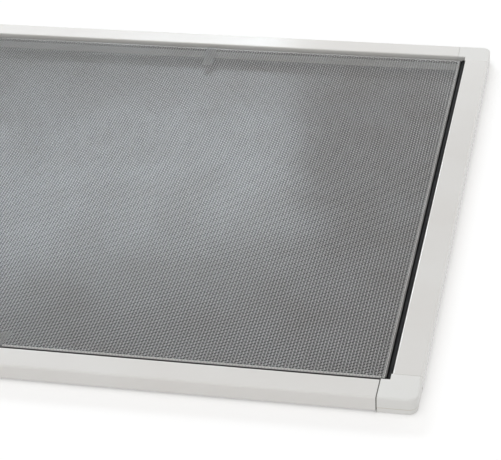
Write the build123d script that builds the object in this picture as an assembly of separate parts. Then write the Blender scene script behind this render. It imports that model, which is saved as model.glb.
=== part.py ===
from build123d import *
from math import radians, tan
import os

# Framed wire screen, lying on its back with the wire side up.
# X is the width, Y the height and Z the thickness; the origin is the middle of the footprint.
# Distances across a rail are measured inwards from the outer edge of the frame.

# Whole screen, outside to outside
screen_width = 457.0
screen_height = 432.0

# Rail section, rolled from thin sheet
rail_width = 22.2
rail_thickness = 9.5
rail_wall = 0.6
lip_width = 1.6
lip_drop = 1.8
groove_width = 4.1
groove_depth = 7.0
outer_bend = 1.2
face_bend = 0.8
lip_bend = 0.5

# Moulded corner blocks
foot_height = 1.0
corner_radius = 5.5
corner_edge = 1.2
ledge_height = 3.6
ledge_step = 0.25
foot_chamfer = 0.6
face_overhang = 0.5
overhang_depth = 1.2
joint_gap = 0.3
core_wall = 2.5
core_rib = 1.2
core_depth = 6.0

# Toothed stakes that push into the hollow rails
stake_length = 24.0
stake_side_clearance = 0.1
stake_teeth = 5
tooth_depth = 0.8
tooth_flat = 0.6
stake_taper = 2.0

# Woven wire: one thin wall opened as far as the weave is, whose bars carry the wires at their real pitch
inch = 25.4
wire_diameter = 0.33
upright_pitch = inch / 14
cross_pitch = inch / 18
wall_thickness = 0.2
band_width = 3.0
gap_columns = 12
gap_rows = 10
uprights_per_bar = 4
crosses_per_bar = 5

# Spline cord pressed into the groove
spline_height = 3.1
crown_share = 0.45
spline_foot_bend = 0.5

# Pull tabs, held under the wire at the lip
tab_width = 7.0
tab_thickness = 0.4
tab_leg = 2.5
tab_reach = 18.0
tab_droop = 15.0
tab_end_radius = 2.5
top_tab_offset = 23.0
bottom_tab_offset = -14.0

# Heights and depths that follow from the sizes above
face_z = foot_height + rail_thickness
lip_z = face_z - lip_drop
floor_z = face_z - groove_depth
lip_start = rail_width - lip_width
face_width = lip_start - groove_width
mesh_thickness = 2 * wire_diameter
spline_width = groove_width - mesh_thickness
spline_z = floor_z + mesh_thickness
roof_z = face_z - rail_wall
cavity_floor_z = foot_height + rail_wall

low_corner = (Align.MIN, Align.MIN, Align.MIN)
middle_low = (Align.CENTER, Align.CENTER, Align.MIN)


def bend(face, u, z, radius):
    """Rounds the corner of a section that lies nearest to a point."""
    corner = face.vertices().sort_by_distance((u, z, 0))[0]
    return fillet(corner, radius)


def section_outline(inset):
    """Outline of the rail section, all its walls moved in by the inset."""
    return make_face(
        Polyline(
            (inset, foot_height + inset),
            (rail_width - inset, foot_height + inset),
            (rail_width - inset, lip_z - inset),
            (lip_start + inset, lip_z - inset),
            (lip_start + inset, floor_z - inset),
            (face_width - inset, floor_z - inset),
            (face_width - inset, face_z - inset),
            (inset, face_z - inset),
            close=True,
        )
    )


def rail_section():
    """Hollow section with a broad face, a spline groove and a lower inner lip."""
    outer = section_outline(0)
    outer = bend(outer, 0, foot_height, outer_bend)
    outer = bend(outer, 0, face_z, outer_bend)
    outer = bend(outer, rail_width, foot_height, outer_bend)
    outer = bend(outer, face_width, face_z, face_bend)
    outer = bend(outer, rail_width, lip_z, lip_bend)
    outer = bend(outer, lip_start, lip_z, lip_bend)
    inner = section_outline(rail_wall)
    inner_bend = outer_bend - rail_wall
    inner = bend(inner, rail_wall, cavity_floor_z, inner_bend)
    inner = bend(inner, rail_wall, roof_z, inner_bend)
    inner = bend(inner, rail_width - rail_wall, cavity_floor_z, inner_bend)
    return outer - inner


def rail(length):
    """A rail along X with its outer edge on Y = 0 and its lip towards +Y."""
    return Pos(-length / 2, 0, 0) * extrude(Plane.YZ * rail_section(), amount=length)


def stake():
    """Toothed stake along +X; its tooth tips bear on the roof and floor of the hollow rail."""
    side_gap = outer_bend - rail_wall + stake_side_clearance
    width = face_width - 2 * rail_wall - 2 * side_gap
    pitch = (stake_length - stake_taper) / stake_teeth
    tip = stake_length - stake_taper
    edges = []
    for wall_z, inwards in ((roof_z, -1), (cavity_floor_z, 1)):
        root_z = wall_z + inwards * tooth_depth
        edge = []
        for tooth in range(stake_teeth):
            root = tooth * pitch
            edge += [(root, root_z), (root, wall_z), (root + tooth_flat, wall_z)]
        edge += [(tip, root_z), (stake_length, root_z + inwards * tooth_depth)]
        edges.append(edge)
    upper, lower = edges
    profile = make_face(Polyline(*upper, *reversed(lower), close=True))
    teeth = extrude(Plane.XZ * profile, amount=-width)
    return Pos(0, rail_wall + side_gap, 0) * teeth


def block_body():
    """The corner's outer form: a rounded upper part on a slightly smaller foot."""
    upper_height = face_z - ledge_height
    upper = Pos(0, 0, ledge_height) * Box(rail_width, rail_width, upper_height, align=low_corner)
    upper = fillet(upper.edges().filter_by(Axis.Z).sort_by_distance((0, 0, face_z))[0], corner_radius)
    rim = [
        edge
        for edge in upper.edges().group_by(Axis.Z)[-1]
        if min(edge.center().X, edge.center().Y) < corner_radius
    ]
    upper = fillet(rim, corner_edge)
    foot_size = rail_width - ledge_step
    foot = Pos(ledge_step, ledge_step, 0) * Box(foot_size, foot_size, ledge_height, align=low_corner)
    foot = fillet(foot.edges().filter_by(Axis.Z).sort_by_distance((0, 0, 0))[0], corner_radius - ledge_step)
    foot = chamfer(foot.edges().group_by(Axis.Z)[0], foot_chamfer)
    return upper + foot


def block_groove():
    """The spline groove where it turns the corner, narrower at the top under the overhanging face."""
    rest = rail_width - face_width
    lower_height = groove_depth - overhang_depth
    low = Pos(face_width, face_width, floor_z)
    groove = low * Box(rest, groove_width, lower_height, align=low_corner)
    groove += low * Box(groove_width, rest, lower_height, align=low_corner)
    mouth = face_width + face_overhang
    high = Pos(mouth, mouth, face_z - overhang_depth)
    mouth_rest = rail_width - mouth
    groove += high * Box(mouth_rest, groove_width - face_overhang, overhang_depth, align=low_corner)
    groove += high * Box(groove_width - face_overhang, mouth_rest, overhang_depth, align=low_corner)
    groove += Pos(lip_start, lip_start, lip_z) * Box(lip_width, lip_width, lip_drop, align=low_corner)
    return groove


def block_cores():
    """Four square pockets in the back, which keep the moulding's walls even."""
    pocket = (face_width - 2 * core_wall - core_rib) / 2
    step = pocket + core_rib
    cores = Part()
    for column in range(2):
        for row in range(2):
            place = Pos(core_wall + column * step, core_wall + row * step, 0)
            cores += place * Box(pocket, pocket, core_depth, align=low_corner)
    return cores


def corner_block():
    """Corner with its outer corner on the origin, reaching towards +X and +Y."""
    along_x = Pos(rail_width, 0, 0) * stake()
    along_y = mirror(along_x, about=Plane(origin=(0, 0, 0), z_dir=(1, -1, 0)))
    block = block_body() - block_groove() - block_cores()
    return block + along_x + along_y


def ring(outer, inner, low, height):
    """A rectangular ring between two distances from the frame's outer edge."""
    whole = Box(screen_width - 2 * outer, screen_height - 2 * outer, height, align=middle_low)
    hole = Box(screen_width - 2 * inner, screen_height - 2 * inner, height, align=middle_low)
    return Pos(0, 0, low) * (whole - hole)


def wire_places(span, openings, wires, pitch):
    """Where the wires lie, a few in each bar between openings; the outer bars are half inside the span."""
    places = []
    for bar in range(openings + 1):
        for wire in range(wires):
            place = (bar - openings / 2) * span / openings + (wire - (wires - 1) / 2) * pitch
            if abs(place) < (span - pitch) / 2:
                places.append(place)
    return places


def comb(span, places):
    """Side view of half the wall: a straight edge at zero and a ridge standing up for every wire."""
    wall = wall_thickness / 2
    points = [(-span / 2, 0), (-span / 2, wall)]
    for place in places:
        left = place - wire_diameter / 2
        right = place + wire_diameter / 2
        points += [(left, wall), (left, wire_diameter), (right, wire_diameter), (right, wall)]
    points += [(span / 2, wall), (span / 2, 0)]
    return make_face(Polyline(*points, close=True))


def wire_field():
    """The wall inside the frame: upright wires on its face, crossing wires on its back, openings between."""
    width = screen_width - 2 * (rail_width + band_width)
    height = screen_height - 2 * (rail_width + band_width)
    upright_places = wire_places(width, gap_columns, uprights_per_bar, upright_pitch)
    cross_places = wire_places(height, gap_rows, crosses_per_bar, cross_pitch)
    face_side = Plane.XZ * comb(width, upright_places)
    back_side = Plane.YZ * comb(height, cross_places)
    field = extrude(face_side, amount=height / 2, both=True)
    field += mirror(extrude(back_side, amount=width / 2, both=True), about=Plane.XY)
    gap_width = width / gap_columns - uprights_per_bar * upright_pitch
    gap_height = height / gap_rows - crosses_per_bar * cross_pitch
    gap = Box(gap_width, gap_height, mesh_thickness)
    gaps = GridLocations(width / gap_columns, height / gap_rows, gap_columns, gap_rows) * gap
    return Pos(0, 0, lip_z + wire_diameter) * (field - gaps)


def tab_section():
    """Side view of a tab: a leg behind the lip, a bend over it and a drooping grip."""
    over = tab_thickness + lip_width
    path = Polyline(
        (lip_start - tab_thickness / 2, lip_z - tab_leg),
        (lip_start - tab_thickness / 2, lip_z + tab_thickness / 2),
        (lip_start - tab_thickness / 2 + over, lip_z + tab_thickness / 2),
    )
    droop = PolarLine(path @ 1, tab_reach, -tab_droop)
    return trace(path + droop, line_width=tab_thickness)


def pull_tab():
    """A tab on the rail along Y = 0, centred on X = 0."""
    strip = Pos(-tab_width / 2, 0, 0) * extrude(Plane.YZ * tab_section(), amount=tab_width)
    reach = rail_width + tab_reach
    blank = Pos(0, reach / 2, 0) * Rectangle(tab_width, reach)
    ends = blank.vertices().group_by(Axis.Y)[-1]
    return strip & extrude(fillet(ends, tab_end_radius), amount=face_z)


def tab_pocket():
    """Room for a tab between the lip and the wire, as far in as the drooping grip needs it."""
    past_lip = tab_thickness + tab_thickness / tan(radians(tab_droop))
    over = lip_width + tab_thickness + past_lip
    top = Pos(0, lip_start - tab_thickness, lip_z)
    leg = Pos(0, lip_start - tab_thickness, lip_z - tab_leg)
    low_middle = (Align.CENTER, Align.MIN, Align.MIN)
    pocket = top * Box(tab_width, over, tab_thickness, align=low_middle)
    return pocket + leg * Box(tab_width, tab_thickness, tab_leg, align=low_middle)


def at_side(part, turns, offset=0):
    """Carries a part from the rail on Y = 0 to a side: 0 bottom, 1 right, 2 top, 3 left."""
    reach = screen_height / 2 if turns % 2 == 0 else screen_width / 2
    return Rot(0, 0, 90 * turns) * Pos(offset, -reach, 0) * part


def at_corner(part, turns):
    """Carries a corner block to its place: 0 bottom left, then anticlockwise."""
    half_x = screen_width / 2 if turns % 2 == 0 else screen_height / 2
    half_y = screen_height / 2 if turns % 2 == 0 else screen_width / 2
    return Rot(0, 0, 90 * turns) * Pos(-half_x, -half_y, 0) * part


def spline(length):
    """Spline cord along X, round on top, filling the groove beside the turned-down wire."""
    place = Pos(0, face_width + spline_width / 2, spline_z)
    blank = place * Box(length, spline_width, spline_height, align=middle_low)
    crown = blank.edges().filter_by(Axis.X).group_by(Axis.Z)[-1]
    blank = fillet(crown, spline_width * crown_share)
    foot = blank.edges().filter_by(Axis.X).group_by(Axis.Z)[0]
    return fillet(foot, spline_foot_bend)


flat_rail = rail(screen_width - 2 * (rail_width + joint_gap))
side_rail = rail(screen_height - 2 * rail_width)
flat_spline = spline(screen_width - 2 * (face_width + spline_width))
side_spline = spline(screen_height - 2 * face_width)
block = corner_block()
tab = pull_tab()

wire_mesh = wire_field()
wire_mesh += ring(lip_start - mesh_thickness, rail_width + band_width, lip_z, mesh_thickness)
wire_mesh += ring(lip_start - mesh_thickness, lip_start, floor_z, lip_z - floor_z)
wire_mesh += ring(face_width, lip_start - mesh_thickness, floor_z, mesh_thickness)
wire_mesh -= at_side(tab_pocket(), 0, bottom_tab_offset)
wire_mesh -= at_side(tab_pocket(), 2, -top_tab_offset)

nodes = {
    "bottom_rail": at_side(flat_rail, 0),
    "right_rail": at_side(side_rail, 1),
    "top_rail": at_side(flat_rail, 2),
    "left_rail": at_side(side_rail, 3),
    "corner_bottom_left": at_corner(block, 0),
    "corner_bottom_right": at_corner(block, 1),
    "corner_top_right": at_corner(block, 2),
    "corner_top_left": at_corner(block, 3),
    "wire_mesh": wire_mesh,
    "spline_bottom": at_side(flat_spline, 0),
    "spline_right": at_side(side_spline, 1),
    "spline_top": at_side(flat_spline, 2),
    "spline_left": at_side(side_spline, 3),
    "pull_tab_bottom": at_side(tab, 0, bottom_tab_offset),
    "pull_tab_top": at_side(tab, 2, -top_tab_offset),
}

os.makedirs("parts", exist_ok=True)
for name, solid in nodes.items():
    export_step(solid, f"parts/{name}.step")
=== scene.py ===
from math import pi, radians

import bmesh
import bpy
from mathutils import Matrix, Vector


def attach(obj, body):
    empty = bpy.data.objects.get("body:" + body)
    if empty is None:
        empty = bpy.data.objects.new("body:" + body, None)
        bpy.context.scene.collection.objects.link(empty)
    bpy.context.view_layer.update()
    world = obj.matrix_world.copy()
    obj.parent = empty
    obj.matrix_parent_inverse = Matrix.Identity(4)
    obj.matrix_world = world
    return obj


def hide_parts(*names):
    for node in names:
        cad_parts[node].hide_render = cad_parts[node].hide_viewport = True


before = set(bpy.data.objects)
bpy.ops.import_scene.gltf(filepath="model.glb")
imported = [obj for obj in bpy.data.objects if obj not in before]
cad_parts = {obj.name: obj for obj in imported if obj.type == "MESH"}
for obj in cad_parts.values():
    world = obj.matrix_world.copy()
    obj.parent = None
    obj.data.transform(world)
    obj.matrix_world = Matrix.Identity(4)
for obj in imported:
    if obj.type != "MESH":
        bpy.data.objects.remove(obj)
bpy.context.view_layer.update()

mm = 0.001

# Camera.
# It stands in front of the screen and a little to its right, and looks down over the near right
# corner. Its small shift leaves the screen whole in other views.
camera_place = Vector((320.5, -968.1, 583.7)) * mm
camera_heading = radians(12.376)
camera_dip = radians(31.529)
camera_roll = radians(-2.567)
camera_lens = 127.5
camera_shift = -0.05
nearest_seen = 0.05
camera = bpy.data.objects.new("camera", bpy.data.cameras.new("camera"))
camera.data.lens = camera_lens
camera.data.shift_x = camera_shift
camera.data.clip_start = nearest_seen
camera.matrix_world = (
    Matrix.Translation(camera_place)
    @ Matrix.Rotation(camera_heading, 4, "Z")
    @ Matrix.Rotation(pi / 2 - camera_dip, 4, "X")
    @ Matrix.Rotation(camera_roll, 4, "Z")
)
bpy.context.collection.objects.link(camera)
bpy.context.scene.camera = camera

# Rails.
# Four lengths roll-formed from thin sheet and baked with warm white enamel, a satin coat that
# levels almost flat. Dust lies on it in faint patches, and its spray leaves a very fine peel.
enamel_white = (0.800, 0.790, 0.772, 1)
enamel_dusty = (0.765, 0.745, 0.720, 1)
enamel_roughness = 0.12
dust_patches = 14
dust_detail = 6
dust_start = 0.42
dust_full = 0.75
peel_scale = 900
peel_height = 0.000004
half_width = 228.5 * mm
half_height = 216.0 * mm
rail_width = 22.2 * mm
lip_start = 20.6 * mm
# Painted shade: the lip under the wire, in from these reaches, and the groove wall below the lip
# are painted dark.
side_lip_shade = 21.2 * mm
end_lip_shade = 21.9 * mm
lip_underside = 7.0 * mm
groove_shade_top = 8.3 * mm
gap_width = 0.3 * mm
# The first colour is painted shade for the lip and groove wall; the gap and joint colours are
# grime.
lip_painted_shade = (0.160, 0.154, 0.145, 1)
gap_grime = (0.120, 0.112, 0.100, 1)
joint_grime = (0.520, 0.500, 0.470, 1)


def new_finish(name, roughness, metallic=0.0):
    """A material and its shader, before anything is painted on it."""
    finish = bpy.data.materials.new(name)
    finish.use_nodes = True
    shader = finish.node_tree.nodes["Principled BSDF"]
    shader.inputs["Roughness"].default_value = roughness
    shader.inputs["Metallic"].default_value = metallic
    return finish, shader


def noise_on(finish, scale, detail=3):
    """Noise that sits on the piece itself, in cells of one over the scale metres."""
    nodes = finish.node_tree.nodes
    place = nodes.new("ShaderNodeTexCoord")
    noise = nodes.new("ShaderNodeTexNoise")
    noise.inputs["Scale"].default_value = scale
    noise.inputs["Detail"].default_value = detail
    finish.node_tree.links.new(place.outputs["Object"], noise.inputs["Vector"])
    return noise.outputs["Fac"]


def spread(finish, value, low, high, start=0.35, end=0.65):
    """Stretches a noise between two values."""
    ramp = finish.node_tree.nodes.new("ShaderNodeMapRange")
    ramp.inputs["From Min"].default_value = start
    ramp.inputs["From Max"].default_value = end
    ramp.inputs["To Min"].default_value = low
    ramp.inputs["To Max"].default_value = high
    finish.node_tree.links.new(value, ramp.inputs["Value"])
    return ramp.outputs["Result"]


def blend_colours(finish, share, first, second, into):
    """Paints a socket with two colours, mixed by a share; a colour may be another node's."""
    links = finish.node_tree.links
    mix = finish.node_tree.nodes.new("ShaderNodeMix")
    mix.data_type = "RGBA"
    links.new(share, mix.inputs["Factor"])
    for name, colour in (("A", first), ("B", second)):
        socket = [i for i in mix.inputs if i.name == name and i.type == "RGBA"][0]
        if isinstance(colour, tuple):
            socket.default_value = colour
        else:
            links.new(colour, socket)
    colour = [o for o in mix.outputs if o.type == "RGBA"][0]
    if into is not None:
        links.new(colour, into)
    return colour


def roughen(finish, shader, height_map, height):
    """Fine relief on a surface."""
    bump = finish.node_tree.nodes.new("ShaderNodeBump")
    bump.inputs["Distance"].default_value = height
    finish.node_tree.links.new(height_map, bump.inputs["Height"])
    finish.node_tree.links.new(bump.outputs["Normal"], shader.inputs["Normal"])


def reckon(finish, operation, first, second=0.0, third=0.0):
    """One step of arithmetic in a finish, on numbers or on other steps."""
    step = finish.node_tree.nodes.new("ShaderNodeMath")
    step.operation = operation
    for socket, value in zip(step.inputs, (first, second, third)):
        if isinstance(value, float):
            socket.default_value = value
        else:
            finish.node_tree.links.new(value, socket)
    return step.outputs["Value"]


def place_on(finish):
    """How far across, along and up a point lies, and if it's at the lower end."""
    place = finish.node_tree.nodes.new("ShaderNodeTexCoord")
    parts = finish.node_tree.nodes.new("ShaderNodeSeparateXYZ")
    finish.node_tree.links.new(place.outputs["Object"], parts.inputs["Vector"])
    across = reckon(finish, "ABSOLUTE", parts.outputs["X"])
    along = reckon(finish, "ABSOLUTE", parts.outputs["Y"])
    return across, along, parts.outputs["Z"], reckon(finish, "LESS_THAN", parts.outputs["Y"], 0.0)


def grime_and_shade(finish, clean):
    """Painted shade on the lip under the wire and on the groove wall below it, and grime in the
    gaps and joints of the two lower corners.
    """
    across, along, up, lower_end = place_on(finish)
    off_lip = reckon(
        finish,
        "MAXIMUM",
        reckon(finish, "SUBTRACT", across, half_width - side_lip_shade),
        reckon(finish, "SUBTRACT", along, half_height - end_lip_shade),
    )
    lip_in_shade = reckon(
        finish,
        "MULTIPLY",
        reckon(finish, "LESS_THAN", off_lip, 0.0),
        reckon(finish, "GREATER_THAN", up, lip_underside),
    )
    off_wall = reckon(
        finish,
        "MAXIMUM",
        reckon(finish, "SUBTRACT", across, half_width - lip_start),
        reckon(finish, "SUBTRACT", along, half_height - lip_start),
    )
    wall_in_shade = reckon(
        finish,
        "MULTIPLY",
        reckon(finish, "COMPARE", off_wall, 0.0, gap_width / 2),
        reckon(finish, "LESS_THAN", up, groove_shade_top),
    )
    lip_in_shade = reckon(finish, "MAXIMUM", lip_in_shade, wall_in_shade)
    # Painted shade: the lip and the groove wall below it take a dark colour.
    lip_shaded = blend_colours(finish, lip_in_shade, clean, lip_painted_shade, None)
    at_gap = reckon(
        finish,
        "MULTIPLY",
        reckon(finish, "COMPARE", across, half_width - rail_width - gap_width / 2, gap_width),
        reckon(finish, "GREATER_THAN", along, half_height - rail_width),
    )
    at_gap = reckon(finish, "MULTIPLY", at_gap, lower_end)
    gap_grimed_lip_shaded = blend_colours(finish, at_gap, lip_shaded, gap_grime, None)
    at_joint = reckon(
        finish,
        "MULTIPLY",
        reckon(finish, "COMPARE", along, half_height - rail_width, gap_width / 2),
        reckon(finish, "GREATER_THAN", across, half_width - rail_width),
    )
    at_joint = reckon(finish, "MULTIPLY", at_joint, lower_end)
    return blend_colours(finish, at_joint, gap_grimed_lip_shaded, joint_grime, None)


enamel, enamel_shader = new_finish("satin white enamel", enamel_roughness)
dust_noise = noise_on(enamel, dust_patches, dust_detail)
dust = spread(enamel, dust_noise, 0, 1, dust_start, dust_full)
dusted = blend_colours(enamel, dust, enamel_white, enamel_dusty, None)
# The enamel's colour carries painted shade on the lip and groove wall, and grime in the lower
# corners' gaps and joints.
enamel.node_tree.links.new(grime_and_shade(enamel, dusted), enamel_shader.inputs["Base Color"])
roughen(enamel, enamel_shader, noise_on(enamel, peel_scale), peel_height)


def paint(name, finish):
    """Gives a piece of the frame its finish."""
    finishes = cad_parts[name].data.materials
    finishes.clear()
    finishes.append(finish)


for side in ("bottom", "right", "top", "left"):
    paint(side + "_rail", enamel)

# Corner blocks.
# Four injection moulded corners in white plastic, a shade cooler than the enamel, pushed into the
# rail ends on their stakes. The step round the foot and the joints hold a little grime.
moulding_white = (0.802, 0.800, 0.782, 1)
moulding_dusty = (0.750, 0.738, 0.705, 1)
moulding_roughness = 0.3
smudge_patches = 60
smudge_detail = 5
smudge_start = 0.5
smudge_full = 0.8
grain_scale = 1500
grain_height = 0.00001
ledge_height = 3.6 * mm
ledge_grime_reach = ledge_height / 15
ledge_grime = (0.640, 0.605, 0.530, 1)
moulding, moulding_shader = new_finish("white moulding", moulding_roughness)
smudge_noise = noise_on(moulding, smudge_patches, smudge_detail)
smudges = spread(moulding, smudge_noise, 0, 1, smudge_start, smudge_full)
smudged = blend_colours(moulding, smudges, moulding_white, moulding_dusty, None)
at_ledge = reckon(moulding, "COMPARE", place_on(moulding)[2], ledge_height, ledge_grime_reach)
ledge_soiled = blend_colours(moulding, at_ledge, smudged, ledge_grime, None)
# Here too the lip and groove wall under the wire take the painted shade, besides the grime.
moulding.node_tree.links.new(grime_and_shade(moulding, ledge_soiled), moulding_shader.inputs["Base Color"])
roughen(moulding, moulding_shader, noise_on(moulding, grain_scale), grain_height)
for corner in ("bottom_left", "bottom_right", "top_right", "top_left"):
    paint("corner_" + corner, moulding)

# Wire cloth.
# A plain weave of drawn wire, 14 upright and 18 crossing wires to the inch, crimped where they
# pass over and under each other. Its edges turn down over the lip and along the groove's floor.
inch = 25.4 * mm
upright_pitch = inch / 14
cross_pitch = inch / 18
wire_radius = 0.185 * mm
crimp_height = 0.19 * mm
cloth_height = 9.09 * mm
groove_floor_height = 3.70 * mm
bend_radius = 0.3 * mm
leg_place = 20.40 * mm
cloth_end = 16.7 * mm
half_uprights = 114
half_crosses = 138
wire_facets = 3
bend_steps = 2
weld_reach = wire_radius / 100


def next_ring(bm, ring, offset):
    """Draws the wire on from its last ring of edges."""
    drawn = bmesh.ops.extrude_edge_only(bm, edges=ring)["geom"]
    verts = [v for v in drawn if isinstance(v, bmesh.types.BMVert)]
    bmesh.ops.translate(bm, verts=verts, vec=offset)
    edges = [e for e in drawn if isinstance(e, bmesh.types.BMEdge)]
    return [e for e in edges if set(e.verts) <= set(verts)]


def bend_ring(bm, ring, centre, angle):
    """Bends the wire round a line along X."""
    bent = bmesh.ops.spin(
        bm, geom=ring, cent=centre, axis=(1, 0, 0), angle=angle, steps=bend_steps
    )
    return [e for e in bent["geom_last"] if isinstance(e, bmesh.types.BMEdge)]


def woven_wire(half_crossings, pitch, half_reach, first_height):
    """One crimped wire along Y, with both ends turned down into the groove."""
    bm = bmesh.new()
    facing = Matrix.Rotation(radians(90), 4, "X") @ Matrix.Rotation(radians(180), 4, "Z")
    start = Matrix.Translation((0, 0, cloth_height + first_height))
    bmesh.ops.create_circle(bm, segments=wire_facets, radius=wire_radius, matrix=start @ facing)
    ring = bm.edges[:]
    height = first_height
    for crossing in range(half_crossings):
        ring = next_ring(bm, ring, (0, pitch, -2 * height))
        height = -height
    top = cloth_height + height
    leg = half_reach - leg_place
    ring = next_ring(bm, ring, (0, leg - bend_radius - half_crossings * pitch, 0))
    ring = bend_ring(bm, ring, (0, leg - bend_radius, top - bend_radius), -pi / 2)
    ring = next_ring(bm, ring, (0, 0, groove_floor_height + 2 * bend_radius - top))
    ring = bend_ring(bm, ring, (0, leg + bend_radius, groove_floor_height + bend_radius), pi / 2)
    ring = next_ring(bm, ring, (0, leg_place - cloth_end - bend_radius, 0))
    bmesh.ops.holes_fill(bm, edges=ring, sides=wire_facets)
    half = bm.verts[:] + bm.edges[:] + bm.faces[:]
    bmesh.ops.mirror(bm, geom=half, merge_dist=weld_reach, axis="Y")
    bmesh.ops.recalc_face_normals(bm, faces=bm.faces[:])
    for face in bm.faces:
        face.smooth = True
    return bm


def new_piece(name, bm, finish):
    """A piece from its bmesh, with its place in its mesh."""
    mesh = bpy.data.meshes.new(name)
    bm.to_mesh(mesh)
    bm.free()
    mesh.materials.append(finish)
    piece = bpy.data.objects.new(name, mesh)
    bpy.context.collection.objects.link(piece)
    return piece


def finished_piece(name, bm, finish):
    """A piece of the screen itself."""
    piece = new_piece(name, bm, finish)
    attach(piece, "root")
    return piece


def lay_side_by_side(piece, count, offset):
    """Repeats a wire across the cloth."""
    rows = piece.modifiers.new("rows", "ARRAY")
    rows.use_relative_offset = False
    rows.use_constant_offset = True
    rows.constant_offset_displace = offset
    rows.count = count


wire_grey = (0.50, 0.505, 0.505, 1)
wire_dull = (0.45, 0.445, 0.435, 1)
# Painted shade for the wire down in the groove.
wire_painted_shade = (0.130, 0.128, 0.124, 1)
wire_roughness = 0.3
tarnish_patches = 25
tarnish_detail = 8
tarnish_start = 0.35
tarnish_full = 0.7
wire, wire_shader = new_finish("dull grey wire", wire_roughness, metallic=1.0)
tarnish_noise = noise_on(wire, tarnish_patches, tarnish_detail)
tarnish = spread(wire, tarnish_noise, 0, 1, tarnish_start, tarnish_full)
tarnished = blend_colours(wire, tarnish, wire_grey, wire_dull, None)
# Painted shade: the wire down in the groove, below the lip, is painted near black.
in_groove = reckon(wire, "LESS_THAN", place_on(wire)[2], groove_shade_top)
blend_colours(wire, in_groove, tarnished, wire_painted_shade, wire_shader.inputs["Base Color"])

# Every second wire has the same crimp, and each such set is laid in two halves.
for start in range(4):
    first = start % 2 - (half_uprights if start < 2 else 0)
    last = -1 if start < 2 else half_uprights
    count = (last - first) // 2 + 1
    sign = 1 if first % 2 == 0 else -1
    bm = woven_wire(half_crosses, cross_pitch, half_height, sign * crimp_height)
    bmesh.ops.translate(bm, verts=bm.verts[:], vec=(first * upright_pitch, 0, 0))
    piece = finished_piece(f"upright_wires_{start + 1}", bm, wire)
    lay_side_by_side(piece, count, (2 * upright_pitch, 0, 0))
    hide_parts("wire_mesh")
for start in range(4):
    first = start % 2 - (half_crosses if start < 2 else 0)
    last = -1 if start < 2 else half_crosses
    count = (last - first) // 2 + 1
    sign = -1 if first % 2 == 0 else 1
    bm = woven_wire(half_uprights, upright_pitch, half_width, sign * crimp_height)
    bmesh.ops.rotate(bm, verts=bm.verts[:], cent=(0, 0, 0), matrix=Matrix.Rotation(pi / 2, 3, "Z"))
    bmesh.ops.translate(bm, verts=bm.verts[:], vec=(0, first * cross_pitch, 0))
    piece = finished_piece(f"crossing_wires_{start + 1}", bm, wire)
    lay_side_by_side(piece, count, (0, 2 * cross_pitch, 0))
    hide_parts("wire_mesh")

# Past the lip the last few wires of each edge run lengthwise down in the groove.
lengthwise_facets = 4
off_the_wall = 1.5 * wire_radius
drop = cloth_height - groove_floor_height
bm = bmesh.new()
for turns in range(4):
    level = turns % 2 == 0
    pitch = cross_pitch if level else upright_pitch
    reach_out = half_height if level else half_width
    woven = half_crosses * cross_pitch if level else half_uprights * upright_pitch
    length = 2 * (half_uprights * upright_pitch if level else half_crosses * cross_pitch)
    run = pitch - (reach_out - leg_place - woven)
    while run < drop + leg_place - cloth_end:
        if run < drop:
            beside, height = leg_place - off_the_wall, cloth_height - run
        else:
            beside, height = leg_place - run + drop, groove_floor_height + off_the_wall
        place = (
            Matrix.Rotation(turns * pi / 2, 4, "Z")
            @ Matrix.Translation((0, beside - reach_out, height))
            @ Matrix.Rotation(pi / 2, 4, "Y")
        )
        bmesh.ops.create_cone(
            bm, cap_ends=True, segments=lengthwise_facets,
            radius1=wire_radius, radius2=wire_radius, depth=length, matrix=place,
        )
        run += pitch
piece = finished_piece("groove_wires", bm, wire)
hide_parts("wire_mesh")

# Spline.
# Four lengths of black extruded rubber cord, pressed into the groove on top of the turned-down
# wire, which they hold tight.
rubber_black = (0.008, 0.009, 0.010, 1)
rubber_worn = (0.018, 0.019, 0.020, 1)
rubber_roughness = 0.7
rubber_shine = 0.25
wear_patches = 120
wear_detail = 4
rubber, rubber_shader = new_finish("black rubber", rubber_roughness)
rubber_shader.inputs["Specular IOR Level"].default_value = rubber_shine
wear = spread(rubber, noise_on(rubber, wear_patches, wear_detail), 0, 1)
blend_colours(rubber, wear, rubber_black, rubber_worn, rubber_shader.inputs["Base Color"])
for side in ("bottom", "right", "top", "left"):
    paint("spline_" + side, rubber)

# Pull tabs.
# Two small strips of grey soft plastic, hooked behind the lip under the wire, for drawing the
# screen out.
tab_grey = (0.100, 0.100, 0.098, 1)
tab_pale = (0.140, 0.140, 0.136, 1)
tab_roughness = 0.35
tab_patches = 200
tab_plastic, tab_shader = new_finish("grey soft plastic", tab_roughness)
tab_noise = noise_on(tab_plastic, tab_patches)
blend_colours(tab_plastic, tab_noise, tab_grey, tab_pale, tab_shader.inputs["Base Color"])
for end in ("bottom", "top"):
    paint("pull_tab_" + end, tab_plastic)

# Floor.
# A plain pale floor, and under the wire a dark polished sheet as big as the opening: painted shade
# for the gaps of the wire, which also stands for the dark table top the screen lay on. What the
# eye, gloss and glass see of the floor is its full white; light that bounces off it takes a half
# share.
floor_white = (0.95, 0.95, 0.95, 1)
floor_bounce = (0.32, 0.32, 0.32, 1)
floor_glow = 0.2
bounce_share = 0.5
floor_roughness = 0.9
floor_reach = 15
glow_white = (1, 1, 1, 1)
underlay_roughness = 0.15
# Painted shade: the sheet under the wire is near black so the gaps of the wire read dark.
underlay_shade_dark = (0.010, 0.010, 0.010, 1)
underlay_rim = 8 * mm
underlay_height = 0.3 * mm


def flat_piece(name, half_x, half_y, height, finish):
    """A level rectangle round the origin that isn't part of the screen."""
    bm = bmesh.new()
    bmesh.ops.create_grid(bm, x_segments=1, y_segments=1, size=1)
    bmesh.ops.scale(bm, verts=bm.verts[:], vec=(half_x, half_y, 1))
    bmesh.ops.translate(bm, verts=bm.verts[:], vec=(0, 0, height))
    piece = new_piece(name, bm, finish)


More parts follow.
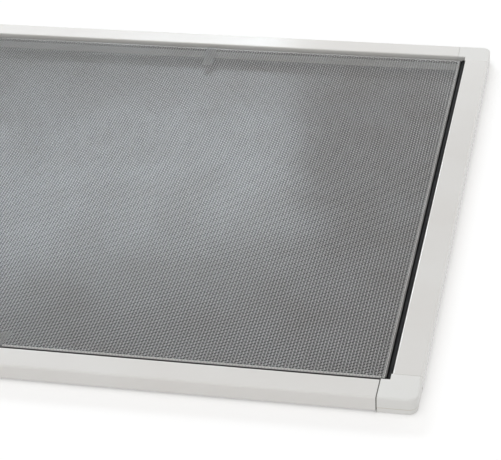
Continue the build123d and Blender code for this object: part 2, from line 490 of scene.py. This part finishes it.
floor_paper, floor_shader = new_finish("pale floor", floor_roughness)
floor_shader.inputs["Emission Color"].default_value = glow_white
rays = floor_paper.node_tree.nodes.new("ShaderNodeLightPath")
seen = bounce_share
for ray in ("Is Camera Ray", "Is Glossy Ray", "Is Transmission Ray"):
    seen = reckon(floor_paper, "MAXIMUM", rays.outputs[ray], seen)
blend_colours(floor_paper, seen, floor_bounce, floor_white, floor_shader.inputs["Base Color"])
glow = reckon(floor_paper, "MULTIPLY", seen, floor_glow)
floor_paper.node_tree.links.new(glow, floor_shader.inputs["Emission Strength"])
flat_piece("floor", floor_reach, floor_reach, 0, floor_paper)
shade_underlay, shade_underlay_shader = new_finish("dark underlay for painted shade", underlay_roughness)
shade_underlay_shader.inputs["Base Color"].default_value = underlay_shade_dark
flat_piece("shade_underlay", half_width - underlay_rim, half_height - underlay_rim, underlay_height, shade_underlay)

# Light.
# Soft light from all round, brighter low behind the screen, with a wide soft lamp in front and one
# overhead. A wide low window behind the screen to its left shows as glare on the dark sheet under
# the wire and in the far rail.
sky_strength = 0.53
sky_back_strength = 1.5
sky_band_low = 0.42
sky_band_high = 0.48
sky_back_start = 0.3
sky_back_full = 0.8
sky_colour = (1, 0.995, 0.985, 1)
sky = bpy.data.worlds.new("room")
bpy.context.scene.world = sky
sky.use_nodes = True
sky_nodes = sky.node_tree.nodes
sky_links = sky.node_tree.links
direction = sky_nodes.new("ShaderNodeTexCoord")
split = sky_nodes.new("ShaderNodeSeparateXYZ")
sky_links.new(direction.outputs["Generated"], split.inputs["Vector"])
strength = None
for axis, start, end in (("Z", sky_band_high, sky_band_low), ("Y", sky_back_start, sky_back_full)):
    share = sky_nodes.new("ShaderNodeMapRange")
    share.interpolation_type = "SMOOTHSTEP"
    share.inputs["From Min"].default_value = start
    share.inputs["From Max"].default_value = end
    sky_links.new(split.outputs[axis], share.inputs["Value"])
    if strength is not None:
        sky_links.new(strength, share.inputs["To Max"])
    strength = share.outputs["Result"]
brighten = sky_nodes.new("ShaderNodeMapRange")
brighten.inputs["To Min"].default_value = sky_strength
brighten.inputs["To Max"].default_value = sky_back_strength
sky_links.new(strength, brighten.inputs["Value"])
sky_nodes["Background"].inputs["Color"].default_value = sky_colour
sky_links.new(brighten.outputs["Result"], sky_nodes["Background"].inputs["Strength"])


def soft_light(name, middle, width, height, power, colour):
    """A rectangular lamp that faces the screen."""
    lamp = bpy.data.lights.new(name, "AREA")
    lamp.shape = "RECTANGLE"
    lamp.size = width
    lamp.size_y = height
    lamp.energy = power
    lamp.color = colour
    holder = bpy.data.objects.new(name, lamp)
    holder.location = middle
    holder.rotation_euler = (-Vector(middle)).to_track_quat("-Z", "Y").to_euler()
    bpy.context.collection.objects.link(holder)


soft_light(
    "window", middle=(-1.2, 2.85, 1.75), width=1.5, height=0.46, power=22, colour=(0.84, 0.93, 1)
)
soft_light(
    "front_lamp", middle=(0.4, -3.4, 1.4), width=3.6, height=0.7, power=26, colour=(1, 0.985, 0.97)
)
soft_light(
    "ceiling_lamp", middle=(-0.3, -0.2, 3.0), width=2.4, height=2.4, power=17,
    colour=(1, 0.99, 0.98),
)

bpy.context.scene.view_settings.view_transform = "Standard"
